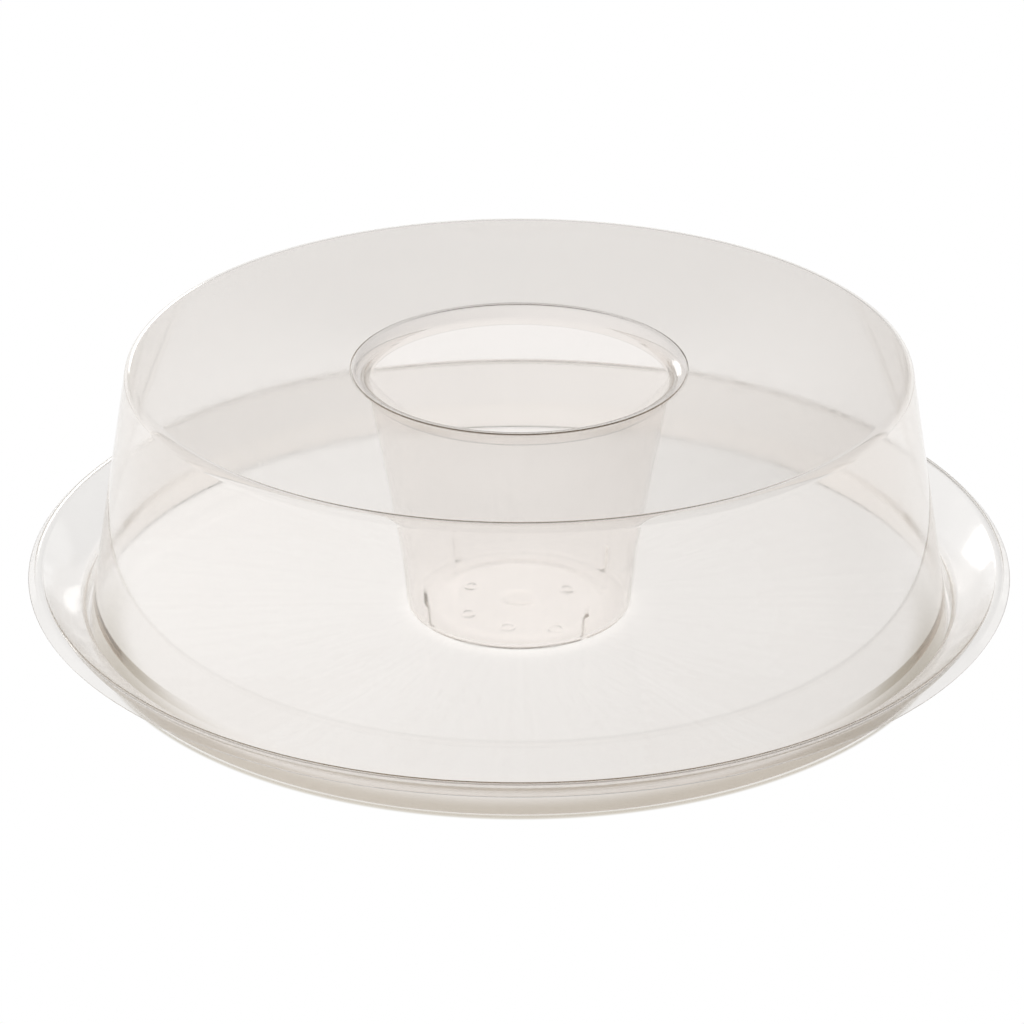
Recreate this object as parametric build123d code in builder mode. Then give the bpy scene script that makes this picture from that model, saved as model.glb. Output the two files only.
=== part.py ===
"""Round humidity dome tray: a clear flared tray, a clear dome with a flat top, and a
centre cup that drops into the mouth of the dome and reaches down to the tray floor.

Millimetres.  +Z is up and the origin is the centre of the tray's underside.
Every piece is a thin moulding that is turned about the Z axis.
"""
import os
from math import radians, tan

from build123d import *

os.makedirs("parts", exist_ok=True)

# ---- driving dimensions -------------------------------------------------------------
tray_sheet = 0.8           # wall thickness of the tray
dome_sheet = 0.8           # wall thickness of the dome
cup_sheet = 0.8            # wall thickness of the centre cup

# tray
lip_radius = 150.0         # thin outer edge of the rim, the overall size
lip_height = 17.3
crest_radius = 146.7       # corner that the rounded crest of the rim is cut from
crest_height = 20.4
well_radius = 132.6        # inside of the upright base wall, at the floor
well_top_radius = 133.0    # the same at the foot of the flare
well_top_height = 9.4
floor_corner_fillet = 1.8
flare_foot_fillet = 4.2
flare_sag = 0.5            # how far the flare is hollowed, halfway up
flare_fillet = 70.0
crest_fillet = 2.2

# dome
foot_radius = 132.2        # outside of the foot, 0.4 inside the tray's wall
foot_gap = 0.2             # foot above the tray floor, held there by the lift joint
dome_draft = 10.06         # degrees, how far the wall leans in
dome_height = 83.0         # tray underside to the outer edge of the top
dish_depth = 3.5           # how much lower the top is at the mouth
shoulder_fillet = 3.0
foot_corner_fillet = 0.8   # outer corner of the foot, clear of the tray's own corner
band_height = 9.2          # top of the thicker band round the foot, above the base
band_extra = 0.4           # how much thicker that band is, on the inside
band_taper = 3.5           # height over which the band thins out to the wall

# centre cup
flange_radius = 50.4       # outer edge of the rolled rim
cup_gap = 0.3              # cup's underside above the tray floor
cup_foot_radius = 34.4     # outside, at the bottom
knee_radius = 36.0         # outside, where the taper changes
knee_height = 18.9
cup_draft = 9.9            # degrees, above the knee
rim_fillet = 5.1           # the rolled rim, seen from above
rim_proud = 0.3            # top of the rim above the dome's top beside it
cup_corner_fillet = 1.5
knee_fillet = 30.0
fit_gap = 0.35             # between the cup and the mouth of the dome
rim_sheet = 0.5            # the rolled rim thins to this at its edge
rim_lower_fillet = 4.3     # the rolled rim, seen from below
foot_lower_fillet = 1.8

# mouth of the dome: a rebate that the cup's rim drops into, and a short collar below it
rim_rise = 0.1             # gap under the rim of the cup
rebate_fillet = 4.0        # follows the underside of the rolled rim
rebate_corner_fillet = 0.2
mouth_fillet = 4.0         # the dome's own skin, where it turns down
collar_sheet = 0.6
collar_length = 5.5        # how far the collar reaches below the top of the mouth

# small moulded details of the cup
rib_count = 4
rib_first_angle = 36.0     # degrees from +X
rib_width = 2.0
rib_height = 8.0
rib_reach = 1.6            # measured inwards from the middle of the wall
panel_radius = 28.0        # recessed panel under the floor
panel_depth = 0.2
gate_radius = 4.8          # low round boss where the moulding was filled
gate_height = 0.3

# ---- heights and radii that follow --------------------------------------------------
floor_top = tray_sheet
foot_height = floor_top + foot_gap
dome_slope = tan(radians(dome_draft))
shoulder_radius = foot_radius - dome_slope * (dome_height - foot_height)
mouth_height = dome_height - dish_depth
cup_underside = floor_top + cup_gap
cup_floor = cup_underside + cup_sheet
cup_slope = tan(radians(cup_draft))
rim_height = mouth_height + rim_proud
rim_underside = rim_height - rim_sheet
seat_radius = flange_radius + fit_gap
seat_height = rim_underside - rim_rise
top_slope = dish_depth / (shoulder_radius - seat_radius)
collar_foot_height = mouth_height - collar_length


def cup_outside(height):
    """Outer radius of the cup's wall above its knee."""
    return knee_radius + cup_slope * (height - knee_height)


def collar_skin(height):
    """Radius of the dome's skin in its collar, before the room for the cup is cut from it."""
    return cup_outside(height) + fit_gap + collar_sheet - dome_sheet


def sheet_section(points, radii, thickness, side):
    """Section of a moulding: one skin with rounded corners, thickened to one side."""
    with BuildSketch(Plane.XZ) as section:
        with BuildLine():
            FilletPolyline(*points, radius=radii)
            offset(amount=thickness, side=side, kind=Kind.INTERSECTION)
        make_face()
    return section.sketch


def skins_section(inside, inside_radii, outside, outside_radii):
    """Section of a moulding between two skins, each with its own rounded corners."""
    with BuildSketch(Plane.XZ) as section:
        with BuildLine():
            inner = FilletPolyline(*inside, radius=inside_radii)
            outer = FilletPolyline(*outside, radius=outside_radii)
            Line(inner @ 0, outer @ 0)
            Line(inner @ 1, outer @ 1)
        make_face()
    return section.sketch


# ---- tray: flat floor, low upright wall, flared rim with a turned-down lip ----------
flare_run = Vector(crest_radius - well_top_radius, crest_height - well_top_height)
flare_middle = Vector(well_top_radius, well_top_height) + flare_run / 2
flare_middle -= flare_run.normalized().rotate(Axis.Z, 90) * flare_sag
tray_skin = [
    (0, floor_top),
    (well_radius, floor_top),
    (well_top_radius, well_top_height),
    (flare_middle.X, flare_middle.Y),
    (crest_radius, crest_height),
    (lip_radius, lip_height),
]
tray_corners = [floor_corner_fillet, flare_foot_fillet, flare_fillet, crest_fillet]

with BuildPart() as tray:
    add(sheet_section(tray_skin, tray_corners, tray_sheet, Side.RIGHT))
    revolve(axis=Axis.Z)
tray.part.label = "tray"
export_step(tray.part, "parts/tray.step")

# ---- dome: leaning wall, dished top, mouth with a rebate and a collar ---------------
mouth_corner_radius = collar_skin(mouth_height)
mouth_corner_height = mouth_height - top_slope * (seat_radius - mouth_corner_radius)
dome_skin = [
    (foot_radius + dome_slope * foot_height, 0),
    (shoulder_radius, dome_height),
    (mouth_corner_radius, mouth_corner_height),
    (collar_skin(collar_foot_height), collar_foot_height),
]
dome_corners = [shoulder_fillet, mouth_fillet]
room_inside = flange_radius / 2
room_top = mouth_height + 1
room_foot = collar_foot_height - 2

with BuildPart() as dome:
    add(sheet_section(dome_skin, dome_corners, dome_sheet, Side.LEFT))
    revolve(axis=Axis.Z)
    with BuildSketch(Plane.XZ):
        with BuildLine():
            rebate = FilletPolyline(
                (seat_radius, room_top),
                (seat_radius, seat_height),
                (cup_outside(seat_height) + fit_gap, seat_height),
                (cup_outside(room_foot) + fit_gap, room_foot),
                radius=[rebate_corner_fillet, rebate_fillet],
            )
            Polyline(rebate @ 0, (room_inside, room_top), (room_inside, room_foot), rebate @ 1)
        make_face()
    revolve(axis=Axis.Z, mode=Mode.SUBTRACT)
    split(bisect_by=Plane.XY.offset(foot_height), keep=Keep.TOP)
    with BuildSketch(Plane.XZ):
        with BuildLine():
            inside_foot = foot_radius - dome_sheet
            inside_band = inside_foot - dome_slope * (band_height - foot_height)
            inside_taper = inside_band - dome_slope * band_taper
            Polyline(
                (inside_foot + 0.3, foot_height),
                (inside_foot - band_extra, foot_height),
                (inside_band - band_extra, band_height),
                (inside_taper, band_height + band_taper),
                (inside_taper + 0.3, band_height + band_taper),
                close=True,
            )
        make_face()
    revolve(axis=Axis.Z)
    foot_edges = dome.edges().filter_by(GeomType.CIRCLE).group_by(Axis.Z)[0]
    fillet(foot_edges.sort_by(SortBy.RADIUS)[-1], radius=foot_corner_fillet)
dome.part.label = "dome"
export_step(dome.part, "parts/dome.step")

# ---- centre cup: two-stage taper, rolled rim, ribs that keep nested cups apart ------
cup_inner_skin = [
    (0, cup_floor),
    (cup_foot_radius - cup_sheet, cup_floor),
    (knee_radius - cup_sheet, knee_height),
    (cup_outside(rim_height) - cup_sheet, rim_height),
    (flange_radius, rim_height),
]
cup_inner_corners = [cup_corner_fillet, knee_fillet, rim_fillet]
cup_outer_skin = [
    (0, cup_underside),
    (cup_foot_radius, cup_underside),
    (knee_radius, knee_height),
    (cup_outside(rim_underside), rim_underside),
    (flange_radius, rim_underside),
]
cup_outer_corners = [foot_lower_fillet, knee_fillet + cup_sheet, rim_lower_fillet]

with BuildPart() as centre_cup:
    add(skins_section(cup_inner_skin, cup_inner_corners, cup_outer_skin, cup_outer_corners))
    revolve(axis=Axis.Z)
    with BuildSketch(Plane.XY.offset(cup_underside)):
        Circle(panel_radius)
    extrude(amount=panel_depth, mode=Mode.SUBTRACT)
    with BuildSketch(Plane.XY.offset(cup_floor)):
        Circle(gate_radius)
    extrude(amount=gate_height, taper=30)
    with BuildSketch(Plane.XY.offset(cup_floor)):
        with PolarLocations(cup_foot_radius - cup_sheet / 4, rib_count, rib_first_angle):
            Rectangle(rib_reach, rib_width, align=(Align.MAX, Align.CENTER))
    extrude(amount=rib_height)
centre_cup.part.label = "centre_cup"
export_step(centre_cup.part, "parts/centre_cup.step")
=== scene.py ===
"""Looks of the round humidity dome tray: tray, dome and centre cup in clear moulded plastic.

Each piece is a thin sheet turned about the Z axis, so each is a closed section with rounded
corners that is spun round, with its small moulded marks raised from the same skin.
Metres throughout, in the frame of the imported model.
"""
from math import atan2, ceil, cos, pi, radians, sin, tan

import bpy
import numpy as np
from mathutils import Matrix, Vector


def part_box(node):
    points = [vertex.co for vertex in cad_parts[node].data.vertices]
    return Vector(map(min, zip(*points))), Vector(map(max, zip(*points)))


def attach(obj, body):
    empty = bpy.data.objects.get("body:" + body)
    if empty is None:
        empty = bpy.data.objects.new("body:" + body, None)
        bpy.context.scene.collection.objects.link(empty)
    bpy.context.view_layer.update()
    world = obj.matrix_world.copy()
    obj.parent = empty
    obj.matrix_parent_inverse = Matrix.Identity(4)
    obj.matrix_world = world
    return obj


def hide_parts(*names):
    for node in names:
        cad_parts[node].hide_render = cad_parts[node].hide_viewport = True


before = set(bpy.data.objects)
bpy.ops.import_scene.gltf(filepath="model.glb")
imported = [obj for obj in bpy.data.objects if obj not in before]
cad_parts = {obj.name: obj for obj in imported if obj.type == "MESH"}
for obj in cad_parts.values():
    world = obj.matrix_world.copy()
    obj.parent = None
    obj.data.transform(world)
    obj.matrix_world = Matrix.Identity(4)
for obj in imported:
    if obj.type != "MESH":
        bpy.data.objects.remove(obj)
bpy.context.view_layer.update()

tray_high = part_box("tray")[1]
dome_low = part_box("dome")[0]
cup_low, cup_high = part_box("centre_cup")

# ---- sizes shared by the pieces ------------------------------------------------------
tray_sheet = 0.0008
dome_sheet = 0.0008
cup_sheet = 0.0008
fit_gap = 0.00035           # between the cup and the dome's mouth
dome_draft = radians(10.06)
cup_draft = radians(9.9)
arc_step = radians(6)       # largest turn between two points of a rounded corner
around = 360                # points round the tray and the dome; the cup has about twice as many
near_zero = 1e-8


# ---- turned sheets -------------------------------------------------------------------
def corner_at(radius, height):
    return np.array((radius, height), float)


def left_of(direction):
    """The direction turned a quarter turn to the left, in a section."""
    return np.array([-direction[1], direction[0]])


def run_directions(points):
    """Unit direction of each straight run of a path."""
    steps = np.diff(points, axis=0)
    return steps / np.linalg.norm(steps, axis=1)[:, None]


def thickened(points, thickness, side):
    """The path's corners moved sideways, side 1 to the left of its direction and -1 to the right."""
    directions = run_directions(points)
    moved = []
    for index, point in enumerate(points):
        before = left_of(directions[max(index - 1, 0)])
        after = left_of(directions[min(index, len(directions) - 1)])
        bisector = before + after
        moved.append(point + side * thickness * 2 * bisector / bisector.dot(bisector))
    return np.array(moved)


def moved_radii(points, radii, thickness, side):
    """Corner radii of the moved path: a bend grows on one side of a sheet and shrinks on the other."""
    directions = run_directions(points)
    result = []
    for index, radius in enumerate(radii):
        before, after = directions[index], directions[index + 1]
        turn = before[0] * after[1] - before[1] * after[0]
        result.append(radius - side * thickness * np.sign(turn))
    return result


def rounded(corners, radii, closed):
    """Points and outward normals along a section whose material lies to the left of its path."""
    points, normals = [], []
    count = len(corners)
    for index, corner in enumerate(corners):
        at_end = not closed and index in (0, count - 1)
        if at_end:
            neighbour = corners[1] if index == 0 else corners[-2]
            run = neighbour - corner if index == 0 else corner - neighbour
            points.append(corner)
            normals.append(-left_of(run / np.linalg.norm(run)))
            continue
        before = corner - corners[index - 1]
        after = corners[(index + 1) % count] - corner
        before = before / np.linalg.norm(before)
        after = after / np.linalg.norm(after)
        turn = atan2(before[0] * after[1] - before[1] * after[0], before.dot(after))
        radius = radii[index]
        start = corner - before * radius * tan(abs(turn) / 2)
        centre = start + np.sign(turn) * radius * left_of(before)
        steps = max(1, ceil(abs(turn) / arc_step))
        for step in range(steps + 1):
            angle = turn * step / steps
            spin = np.array([[cos(angle), -sin(angle)], [sin(angle), cos(angle)]])
            points.append(centre + spin @ (start - centre))
            normals.append(-left_of(spin @ before))
    return np.array(points), np.array(normals)


def refined(points, normals, spans, closed):
    """The section with extra points on its straight runs where spans ask for them.

    Each span is (low, high, longest): the straight runs are divided into steps no longer than
    longest, and the new points that lie between the corners low and high are kept.
    """
    straight, shortest_run = 0.9999, 0.00001
    new_points, new_normals = [], []
    count = len(points)
    last = count if closed else count - 1
    for index in range(last):
        start, end = points[index], points[(index + 1) % count]
        normal, next_normal = normals[index], normals[(index + 1) % count]
        new_points.append(start)
        new_normals.append(normal)
        length = np.linalg.norm(end - start)
        if normal.dot(next_normal) < straight or length < shortest_run:
            continue
        for low, high, longest in spans:
            step_count = ceil(length / longest)
            for step in range(1, step_count):
                place = start + (end - start) * step / step_count
                if low[0] <= place[0] <= high[0] and low[1] <= place[1] <= high[1]:
                    new_points.append(place)
                    new_normals.append(normal)
    if not closed:
        new_points.append(points[-1])
        new_normals.append(normals[-1])
    return np.array(new_points), np.array(new_normals)


def turned_sheet(name, section, angles, raise_skin=None):
    """A closed mesh of the section spun about Z.

    section is (points, normals, closed); an open one starts and ends on the axis.
    raise_skin(positions, normals) gives how far each point is moved along its normal.
    """
    points, normals, closed = section
    on_axis = points[:, 0] < near_zero
    count = len(angles)
    positions, skin_normals, rings = [], [], []
    for point, normal, pole in zip(points, normals, on_axis):
        first = len(positions)
        if pole:
            positions.append((0, 0, point[1]))
            skin_normals.append((0, 0, 1 if normal[1] > 0 else -1))
            rings.append([first] * count)
            continue
        for angle in angles:
            positions.append((point[0] * cos(angle), point[0] * sin(angle), point[1]))
            skin_normals.append((normal[0] * cos(angle), normal[0] * sin(angle), normal[1]))
        rings.append([first + step for step in range(count)])
    positions, skin_normals = np.array(positions), np.array(skin_normals)
    raised = np.zeros(len(positions))
    if raise_skin is not None:
        raised = raise_skin(positions, skin_normals)
        positions = positions + skin_normals * raised[:, None]
    faces = []
    pairs = list(zip(rings, rings[1:] + rings[:1]))
    for lower, upper in pairs if closed else pairs[:-1]:
        for step in range(count):
            other = (step + 1) % count
            corners = [lower[step], lower[other], upper[other], upper[step]]
            faces.append(list(dict.fromkeys(corners)))
    mesh = bpy.data.meshes.new(name)
    mesh.from_pydata(positions.tolist(), [], faces)
    mesh.validate()
    mesh.update()
    smooth_normals = skin_normals.copy()
    own = np.zeros(len(positions) * 3)
    mesh.vertices.foreach_get("normal", own)
    own = own.reshape(-1, 3)
    reshaped = np.zeros(len(positions), bool)
    for face in faces:
        if max(abs(raised[corner]) for corner in face) > near_zero:
            reshaped[face] = True
    smooth_normals[reshaped] = own[reshaped]
    mesh.shade_smooth()
    mesh.normals_split_custom_set_from_vertices(smooth_normals.tolist())
    piece = bpy.data.objects.new(name, mesh)
    bpy.context.scene.collection.objects.link(piece)
    return piece


def path(*corners):
    return np.array(corners, float)


def even_angles(count):
    return [2 * pi * step / count for step in range(count)]


def soft_step(value, width):
    """0 below zero and 1 above width, with a smooth change between."""
    share = np.clip(value / width, 0, 1)
    return share * share * (3 - 2 * share)


# ---- clear plastic -------------------------------------------------------------------
flow_ripple = 0.00002       # height of the faint ripples that the flow of plastic leaves


def clear_plastic(name, tint, depth_tint, density, haze):
    """Glossy clear moulding: faint flow ripples, fine rubbing marks and a tint that builds up edge on."""
    material = bpy.data.materials.new(name)
    material.use_nodes = True
    tree = material.node_tree
    nodes, links = tree.nodes, tree.links
    nodes.clear()
    output = nodes.new("ShaderNodeOutputMaterial")
    shader = nodes.new("ShaderNodeBsdfPrincipled")
    shader.inputs["Transmission Weight"].default_value = 1.0
    shader.inputs["IOR"].default_value = 1.5
    shader.inputs["Metallic"].default_value = 0.0
    links.new(shader.outputs["BSDF"], output.inputs["Surface"])

    place = nodes.new("ShaderNodeTexCoord")
    flow = nodes.new("ShaderNodeTexNoise")
    flow.inputs["Scale"].default_value = 22.0
    flow.inputs["Detail"].default_value = 3.0
    flow.inputs["Roughness"].default_value = 0.45
    links.new(place.outputs["Object"], flow.inputs["Vector"])

    colours = nodes.new("ShaderNodeValToRGB")
    colours.color_ramp.elements[0].position = 0.3
    colours.color_ramp.elements[1].position = 0.7
    colours.color_ramp.elements[0].color = (*[channel * 0.99 for channel in tint], 1)
    colours.color_ramp.elements[1].color = (*tint, 1)
    links.new(flow.outputs["Fac"], colours.inputs["Fac"])
    links.new(colours.outputs["Color"], shader.inputs["Base Color"])

    rubbing = nodes.new("ShaderNodeTexNoise")
    rubbing.inputs["Scale"].default_value = 160.0
    rubbing.inputs["Detail"].default_value = 6.0
    rubbing.inputs["Roughness"].default_value = 0.6
    links.new(place.outputs["Object"], rubbing.inputs["Vector"])
    dullness = nodes.new("ShaderNodeMapRange")
    dullness.inputs["From Min"].default_value = 0.35
    dullness.inputs["From Max"].default_value = 0.75
    dullness.inputs["To Min"].default_value = haze * 0.4
    dullness.inputs["To Max"].default_value = haze
    links.new(rubbing.outputs["Fac"], dullness.inputs["Value"])
    links.new(dullness.outputs["Result"], shader.inputs["Roughness"])

    bump = nodes.new("ShaderNodeBump")
    bump.inputs["Strength"].default_value = 1.0
    bump.inputs["Distance"].default_value = flow_ripple
    links.new(flow.outputs["Fac"], bump.inputs["Height"])
    links.new(bump.outputs["Normal"], shader.inputs["Normal"])

    inside = nodes.new("ShaderNodeVolumeAbsorption")
    inside.inputs["Color"].default_value = (*depth_tint, 1)
    inside.inputs["Density"].default_value = density
    links.new(inside.outputs["Volume"], output.inputs["Volume"])
    return material


tray_plastic = clear_plastic(
    "tray_plastic", tint=(0.985, 0.976, 0.971), depth_tint=(0.84, 0.80, 0.74), density=260, haze=0.13
)
dome_plastic = clear_plastic(
    "dome_plastic", tint=(0.975, 0.964, 0.957), depth_tint=(0.84, 0.78, 0.70), density=160, haze=0.07
)
cup_plastic = clear_plastic(
    "cup_plastic", tint=(0.998, 0.989, 0.986), depth_tint=(0.84, 0.80, 0.75), density=160, haze=0.07
)


# ---- tray ----------------------------------------------------------------------------
floor_top = tray_sheet
well_radius = 0.1326        # inside of the upright base wall, at the floor
well_top = corner_at(0.1330, 0.0094)
crest_corner = corner_at(0.1467, 0.0204)
lip = corner_at(tray_high.x, 0.0173)
flare_sag = 0.0005          # how far the flare is hollowed, halfway up


def make_tray():
    """Flat floor, low upright wall, flared rim, and a lip that turns down to a thin edge."""
    run = crest_corner - well_top
    flare_middle = well_top + run / 2 - flare_sag * left_of(run / np.linalg.norm(run))
    upper = path((0, floor_top), (well_radius, floor_top), well_top, flare_middle, crest_corner, lip)
    floor_corner, flare_foot, flare_bend, crest = 0.0018, 0.0042, 0.07, 0.0022
    corner_radii = [floor_corner, flare_foot, flare_bend, crest]
    lower = thickened(upper, tray_sheet, -1)
    lower_radii = moved_radii(upper, corner_radii, tray_sheet, -1)
    lower[0] = (0, lower[0][1])
    edge = 0.0002
    corners = list(lower) + list(upper[::-1])
    radii = [0, *lower_radii, edge, edge, *corner_radii[::-1], 0]
    points, normals = rounded(corners, radii, closed=False)
    piece = turned_sheet("tray_body", (points, normals, False), even_angles(around))
    piece.data.materials.append(tray_plastic)
    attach(piece, "tray")
    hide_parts("tray")
    return piece


# ---- dome ----------------------------------------------------------------------------
foot_radius = 0.1322        # outside of the dome's foot, before its corner is rounded
foot_height = dome_low.z
dome_height = 0.083
dish_depth = 0.0035         # how much lower the top is at the mouth
rim_proud = 0.0003          # top of the cup's rim above the dome's top beside it
rim_height = cup_high.z
mouth_height = rim_height - rim_proud
flange_radius = cup_high.x
seat_radius = flange_radius + fit_gap
rim_sheet = 0.0005
rim_rise = 0.0001           # gap under the rim of the cup
collar_sheet = 0.0006
collar_length = 0.0055      # how far the collar reaches below the top of the mouth
knee_radius = 0.036
knee_height = 0.0189


def cup_outside(height):
    """Outer radius of the cup's wall above its knee."""
    return knee_radius + tan(cup_draft) * (height - knee_height)


def collar_skin(height):
    """Radius of the dome's skin in its collar, before it is thinned to clear the cup."""
    return cup_outside(height) + fit_gap + collar_sheet - dome_sheet


def make_dome():
    """Leaning wall with a thicker foot band, dished top, and a mouth with a rebate and a collar."""
    slope = tan(dome_draft)
    shoulder_radius = foot_radius - slope * (dome_height - foot_height)
    top_slope = dish_depth / (shoulder_radius - seat_radius)
    seat_height = rim_height - rim_sheet - rim_rise
    collar_foot = mouth_height - collar_length
    foot = (foot_radius, foot_height)
    shoulder = (shoulder_radius, dome_height)
    outer = path(
        foot,
        shoulder,
        (seat_radius, mouth_height),
        (seat_radius, seat_height),
        (cup_outside(seat_height) + fit_gap, seat_height),
        (cup_outside(collar_foot) + fit_gap, collar_foot),
    )
    shoulder_bend, mouth_edge, seat_corner, mouth_bend = 0.003, 0.00015, 0.0002, 0.004
    outer_radii = [shoulder_bend, mouth_edge, seat_corner, mouth_bend]
    corner_radius = collar_skin(mouth_height)
    corner_height = mouth_height - top_slope * (seat_radius - corner_radius)
    skin = path(foot, shoulder, (corner_radius, corner_height), (collar_skin(collar_foot), collar_foot))
    under = thickened(skin, dome_sheet, 1)
    under_radii = moved_radii(skin, [shoulder_bend, mouth_bend], dome_sheet, 1)
    band_top, band_extra, band_taper = 0.0092, 0.0004, 0.0035
    inside_foot = foot_radius - dome_sheet
    inside_band = inside_foot - slope * (band_top - foot_height)
    band = path(
        (inside_band - slope * band_taper, band_top + band_taper),
        (inside_band - band_extra, band_top),
        (inside_foot - band_extra, foot_height),
    )
    corners = list(outer) + list(under[:0:-1]) + list(band)
    foot_corner, edge, taper_edge = 0.0008, 0.0002, 0.004
    radii = [foot_corner, *outer_radii, edge, edge, *under_radii[::-1], taper_edge, taper_edge, edge]
    points, normals = rounded(corners, radii, closed=True)
    piece = turned_sheet("dome_body", (points, normals, True), even_angles(around))
    piece.data.materials.append(dome_plastic)
    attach(piece, "dome")
    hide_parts("dome")
    return piece


# ---- centre cup ----------------------------------------------------------------------
cup_floor = cup_low.z + cup_sheet
rib_angles = [radians(36 + 90 * step) for step in range(4)]
rib_width = 0.002
rib_top = 0.0099
rib_rise = 0.0006
rib_edge = 0.0009
gate_radius = 0.0048
gate_edge = 0.0030
gate_rise = 0.00022
pin_radius = 0.0021
pin_line = 0.0005
pin_rise = 0.00016
pin_places = [
    (-0.0034, -0.0200),
    (-0.0155, -0.0110),
    (-0.0150, 0.0080),
    (0.0110, -0.0210),
    (0.0150, 0.0060),
]


def turn_between(angle, other):
    """Size of the turn from one direction to another, the shorter way round."""
    return np.abs((angle - other + pi) % (2 * pi) - pi)


def cup_marks(positions, normals):
    """How far the ribs, the gate boss and the ejector pin rings stand out of the cup's skin."""
    radius = np.hypot(positions[:, 0], positions[:, 1])
    angle = np.arctan2(positions[:, 1], positions[:, 0])
    on_floor = (normals[:, 2] > 0.999) & (positions[:, 2] < cup_floor + 0.0001)
    inward = normals[:, 0] * positions[:, 0] + normals[:, 1] * positions[:, 1] < -1e-6
    wall = inward & (normals[:, 2] > 0) & (positions[:, 2] < knee_height)
    raised = np.zeros(len(positions))
    for rib_angle in rib_angles:
        off = turn_between(angle, rib_angle) * radius
        across = 1 - soft_step(off - rib_width / 2 + rib_edge / 2, rib_edge)
        along = 1 - soft_step(positions[:, 2] - rib_top + rib_edge, rib_edge)
        raised += np.where(wall, rib_rise * across * along, 0)
    gate = 1 - soft_step(radius - gate_radius + gate_edge / 2, gate_edge)
    raised += np.where(on_floor, gate_rise * gate, 0)
    for place in pin_places:
        off = np.abs(np.hypot(positions[:, 0] - place[0], positions[:, 1] - place[1]) - pin_radius)
        raised += np.where(on_floor, pin_rise * (1 - soft_step(off, pin_line)), 0)
    return raised


def make_cup():
    """Two-stage tapered cup with a rolled rim, ribs near its foot and a gate boss on its floor."""
    foot = 0.0344
    panel_radius, panel_depth, panel_slope = 0.028, 0.0002, 0.0035
    rim_underside = rim_height - rim_sheet
    rim_edge = 0.0002
    inner = path(
        (0, cup_floor),
        (foot - cup_sheet, cup_floor),
        (knee_radius - cup_sheet, knee_height),
        (cup_outside(rim_height) - cup_sheet, rim_height),
        (flange_radius, rim_height),
    )
    knee_bend = 0.03
    inner_radii = [0, 0.0015, knee_bend, 0.0051, rim_edge]
    outer = path(
        (0, cup_low.z + panel_depth),
        (panel_radius - panel_slope, cup_low.z + panel_depth),
        (panel_radius, cup_low.z),
        (foot, cup_low.z),
        (knee_radius, knee_height),
        (cup_outside(rim_underside), rim_underside),
        (flange_radius, rim_underside),
    )
    panel_bend = 0.02
    outer_radii = [0, panel_bend, panel_bend, 0.0018, knee_bend + cup_sheet, 0.0043, rim_edge]
    corners = list(outer) + list(inner[::-1])
    points, normals = rounded(corners, outer_radii + inner_radii[::-1], closed=False)
    margin, longest = 0.0001, 0.0004
    wall_span = (corner_at(0.0300, cup_floor + margin), corner_at(0.0355, 0.0100), longest)
    floor_span = (corner_at(0.0030, cup_floor - margin), corner_at(0.0330, cup_floor + margin), longest)
    points, normals = refined(points, normals, [wall_span, floor_span], closed=False)
    fine_step, fine_count, clear_of_ribs = radians(0.25), 12, radians(3.2)
    fine = []
    for rib_angle in rib_angles:
        fine += [rib_angle + fine_step * step for step in range(-fine_count, fine_count + 1)]
    coarse = [
        angle for angle in even_angles(2 * around)
        if min(turn_between(angle, rib_angle) for rib_angle in rib_angles) > clear_of_ribs
    ]
    angles = sorted(angle % (2 * pi) for angle in coarse + fine)
    piece = turned_sheet("cup_body", (points, normals, False), angles, cup_marks)
    piece.data.materials.append(cup_plastic)
    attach(piece, "centre_cup")
    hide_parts("centre_cup")
    return piece


make_tray()
make_dome()
make_cup()


# ---- stage, light and camera ---------------------------------------------------------
base_edge = 0.133           # outer edge of the tray's base, where it meets the table


def table_light(x, y):
    """Colour painted on the table at a point: white, with painted shade under the tray.

    The painted shade deepens to the right, the front and the back.  Under the cup a painted
    pool of light makes the table brighter, and a painted dark warm ring of shadow runs under
    the tray's base wall, except behind.
    """
    radius = np.hypot(x, y)
    under_tray = soft_step(base_edge - radius, 0.004)
    to_right = 0.12 * soft_step(x + foot_radius, 2 * foot_radius) + 0.05 * soft_step(x - 0.085, 0.03)
    to_front = 0.05 * soft_step(-y, 0.1)
    to_back = 0.09 * soft_step(y - 0.12, 0.05)
    # Painted shade under the tray, deeper to the right, the front and the back.
    shade = to_right + to_front + to_back - 0.08
    # Painted pool of light on the table under the cup.
    painted_light_under_cup = 0.25 * (1 - soft_step(radius - 0.025, 0.016))
    # Painted dark warm ring of shadow under the tray's base wall, fading out behind.
    ring = soft_step(radius - 0.119, 0.008) * soft_step(base_edge - radius, 0.0012)
    ring *= soft_step(0.03 - y, 0.07)
    ring_shadow_front, ring_shadow_side = np.array((0.32, 0.36, 0.43)), np.array((0.46, 0.49, 0.56))
    ring_shadow_colour = ring_shadow_front + (ring_shadow_side - ring_shadow_front) * soft_step(np.abs(x) - 0.07, 0.05)
    return 1 - under_tray * shade + painted_light_under_cup - ring * ring_shadow_colour


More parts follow.
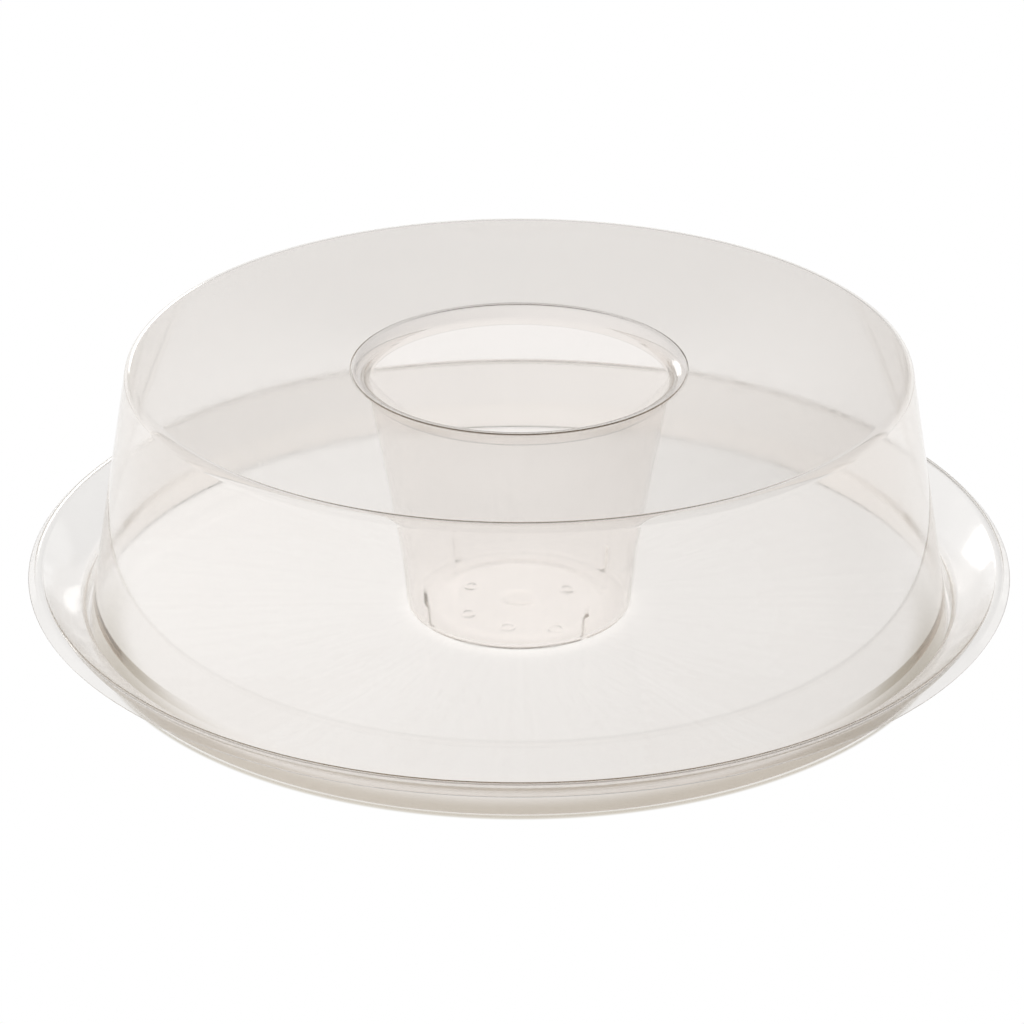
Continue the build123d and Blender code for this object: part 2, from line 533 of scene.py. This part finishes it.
def make_stage():
    """Pale table top that runs far out and curves up at its edge; light and shade are painted under the
    tray.
    """
    reach, edge_height, bend = 4.0, 0.5, 0.8
    corners = path((0, 0), (reach, 0), (reach + 0.4, edge_height))
    rim, _ = rounded(corners, [0, bend, 0], closed=False)
    # The rings lie closest together at the edge of the tray's base, where the painted shade changes
    # fastest.
    rings = [
        *np.arange(0.008, 0.110, 0.006),
        *np.arange(0.110, 0.132, 0.0015),
        *np.arange(0.132, 0.1345, 0.0003),
        0.5,
        1.0,
    ]
    section = [(radius, 0.0) for radius in rings] + [tuple(corner) for corner in rim[1:]]
    mesh = bpy.data.meshes.new("table")
    count = 240
    positions = [(0, 0, 0)]
    for point in section:
        positions += [(point[0] * cos(a), point[0] * sin(a), point[1]) for a in even_angles(count)]
    faces = [[0, 1 + step, 1 + (step + 1) % count] for step in range(count)]
    for ring in range(len(section) - 1):
        first = 1 + ring * count
        for step in range(count):
            other = (step + 1) % count
            faces.append([first + step, first + count + step, first + count + other, first + other])
    mesh.from_pydata(positions, [], faces)
    mesh.shade_smooth()
    # The table's painted light and shade, from table_light, kept as vertex colours.
    light = mesh.attributes.new("light", "FLOAT_COLOR", "POINT")
    light.data.foreach_set("color", [value for x, y, _ in positions for value in (*table_light(x, y), 1)])
    table = bpy.data.objects.new("table", mesh)
    bpy.context.scene.collection.objects.link(table)
    material = bpy.data.materials.new("table_painted_shade_and_light")
    material.use_nodes = True
    nodes, links = material.node_tree.nodes, material.node_tree.links
    nodes.clear()
    lit = nodes.new("ShaderNodeAttribute")
    lit.attribute_name = "light"
    glow = nodes.new("ShaderNodeEmission")
    glow.inputs["Strength"].default_value = 1.0
    links.new(lit.outputs["Color"], glow.inputs["Color"])
    output = nodes.new("ShaderNodeOutputMaterial")
    links.new(glow.outputs["Emission"], output.inputs["Surface"])
    mesh.materials.append(material)


def make_softbox(name, place, aim, size, strength):
    """Oval area light aimed at a point."""
    light = bpy.data.lights.new(name, "AREA")
    light.shape = "ELLIPSE"
    light.size, light.size_y = size
    light.energy = strength
    box = bpy.data.objects.new(name, light)
    box.location = place
    box.rotation_euler = (Vector(aim) - Vector(place)).to_track_quat("-Z", "Y").to_euler()
    box.visible_camera = False
    bpy.context.scene.collection.objects.link(box)


def make_world():
    """Dim studio, lighter to the left, with a pale backdrop low down behind the table."""
    world = bpy.data.worlds.new("studio")
    bpy.context.scene.world = world
    world.use_nodes = True
    nodes, links = world.node_tree.nodes, world.node_tree.links
    place = nodes.new("ShaderNodeTexCoord")
    split = nodes.new("ShaderNodeSeparateXYZ")
    links.new(place.outputs["Generated"], split.inputs["Vector"])

    def ramp(axis, start, end, low, high):
        step = nodes.new("ShaderNodeMapRange")
        step.interpolation_type = "SMOOTHSTEP"
        step.inputs["From Min"].default_value = start
        step.inputs["From Max"].default_value = end
        step.inputs["To Min"].default_value = low
        step.inputs["To Max"].default_value = high
        links.new(split.outputs[axis], step.inputs["Value"])
        return step.outputs["Result"]

    def combine(operation, first, second):
        both = nodes.new("ShaderNodeMath")
        both.operation = operation
        links.new(first, both.inputs[0])
        links.new(second, both.inputs[1])
        return both.outputs["Value"]

    backdrop = combine("MULTIPLY", ramp("Z", 0.52, 0.38, 0.0, 0.72), ramp("Y", -0.1, 0.5, 0.0, 1.0))
    # The backdrop fades to the right, except at its foot.
    fade = combine("MAXIMUM", ramp("X", 0.0, 0.12, 1.0, 0.4), ramp("Z", 0.34, 0.26, 0.0, 1.0))
    backdrop = combine("MULTIPLY", backdrop, fade)
    # The part below the table is seen only by light that ends inside a sheet.
    sides = combine("MAXIMUM", ramp("X", 0.75, -0.35, 0.08, 0.5), ramp("Z", 0.0, -0.1, 0.0, 0.45))
    background = nodes["Background"]
    background.inputs["Color"].default_value = (1, 1, 1, 1)
    links.new(combine("MAXIMUM", backdrop, sides), background.inputs["Strength"])


def make_camera():
    """Long lens, level, a little above the piece, a hair left of its axis."""
    camera_data = bpy.data.cameras.new("camera")
    camera_data.lens = 125.16
    camera_data.sensor_width = 36.0
    camera_data.clip_end = 20.0
    camera = bpy.data.objects.new("camera", camera_data)
    distance, elevation = 1.0899, radians(25.463)
    target = Vector((-0.00215, 0, 0.030988))
    camera.location = target + distance * Vector((0, -cos(elevation), sin(elevation)))
    camera.rotation_euler = (target - camera.location).to_track_quat("-Z", "Y").to_euler()
    bpy.context.scene.collection.objects.link(camera)
    bpy.context.scene.camera = camera


make_stage()
make_softbox("window", place=(-0.68, 1.8, 0.45), aim=(0, 0, 0.05), size=(0.6, 0.36), strength=1.2)
make_world()
make_camera()

scene = bpy.context.scene
scene.view_settings.view_transform = "Standard"
scene.cycles.max_bounces = 32
scene.cycles.transmission_bounces = 32
scene.cycles.glossy_bounces = 32
scene.cycles.diffuse_bounces = 3
# Light that a sheet carries along inside itself ends in the studio's light, not in black.
scene.cycles.use_fast_gi = True
scene.cycles.fast_gi_method = "REPLACE"
scene.cycles.ao_bounces_render = 14
scene.world.light_settings.distance = 0.00001
